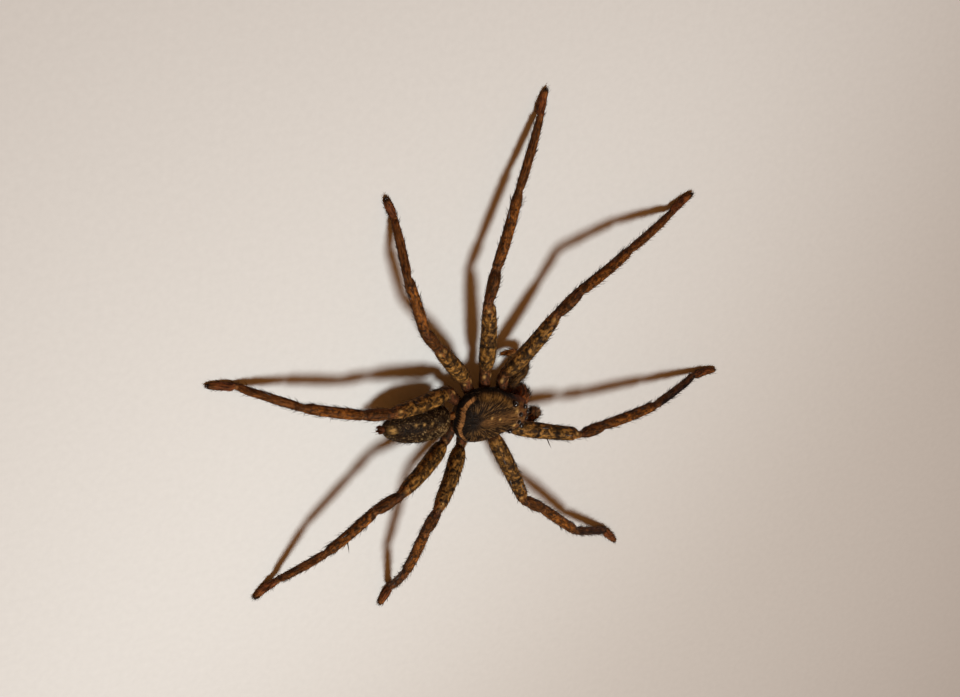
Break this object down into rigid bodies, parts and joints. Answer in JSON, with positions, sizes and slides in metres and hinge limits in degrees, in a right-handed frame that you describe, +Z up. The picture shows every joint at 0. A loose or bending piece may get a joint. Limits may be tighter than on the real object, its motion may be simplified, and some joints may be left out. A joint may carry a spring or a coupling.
{
  "type": "huntsman spider model",
  "caption": "Life-size museum-style huntsman spider in a spread, head-low walking stance with separate body, eye, jaw, palp and leg segments.",
  "frame": {"origin": "on the floor under the middle of the model's box", "axes": "+X the way the head points, +Y to the spider's left, +Z up"},
  "size_m": [0.0984, 0.0912, 0.0115],
  "materials": {
    "shell": "dark brown horny shell with fine hair and a tan middle band",
    "abdomen": "short mottled hair, black, brown and yellow-tan",
    "thigh": "olive-tan with dark bands and specks under short hair",
    "knee": "dark brown-olive under short hair",
    "shin": "orange-brown under short hair",
    "foot": "red-brown with dark tips under short hair",
    "jaw": "red-brown horny shell with dark stripes and hair",
    "eye": "polished blue-black"
  },
  "bodies": {
    "root": {"cephalothorax": "shell", "abdomen": "abdomen", "pedicel": "shell", "spinnerets": "jaw", "eye_median_front_left": "eye", "eye_median_front_right": "eye", "eye_side_front_left": "eye", "eye_side_front_right": "eye", "eye_median_rear_left": "eye", "eye_median_rear_right": "eye", "eye_side_rear_left": "eye", "eye_side_rear_right": "eye", "chelicera_left": "jaw", "palp_left_femur": "thigh", "palp_left_end": "shin", "chelicera_right": "jaw", "palp_right_femur": "thigh", "palp_right_end": "shin", "leg_1_left_coxa": "knee", "leg_1_left_femur": "thigh", "leg_1_left_patella": "knee", "leg_1_left_tibia": "shin", "leg_1_left_foot": "foot", "leg_1_right_coxa": "knee", "leg_1_right_femur": "thigh", "leg_1_right_patella": "knee", "leg_1_right_tibia": "shin", "leg_1_right_foot": "foot", "leg_2_left_coxa": "knee", "leg_2_left_femur": "thigh", "leg_2_left_patella": "knee", "leg_2_left_tibia": "shin", "leg_2_left_foot": "foot", "leg_2_right_coxa": "knee", "leg_2_right_femur": "thigh", "leg_2_right_patella": "knee", "leg_2_right_tibia": "shin", "leg_2_right_foot": "foot", "leg_3_left_coxa": "knee", "leg_3_left_femur": "thigh", "leg_3_left_patella": "knee", "leg_3_left_tibia": "shin", "leg_3_left_foot": "foot", "leg_3_right_coxa": "knee", "leg_3_right_femur": "thigh", "leg_3_right_patella": "knee", "leg_3_right_tibia": "shin", "leg_3_right_foot": "foot", "leg_4_left_coxa": "knee", "leg_4_left_femur": "thigh", "leg_4_left_patella": "knee", "leg_4_left_tibia": "shin", "leg_4_left_foot": "foot", "leg_4_right_coxa": "knee", "leg_4_right_femur": "thigh", "leg_4_right_patella": "knee", "leg_4_right_tibia": "shin", "leg_4_right_foot": "foot"}
  },
  "joints": []
}
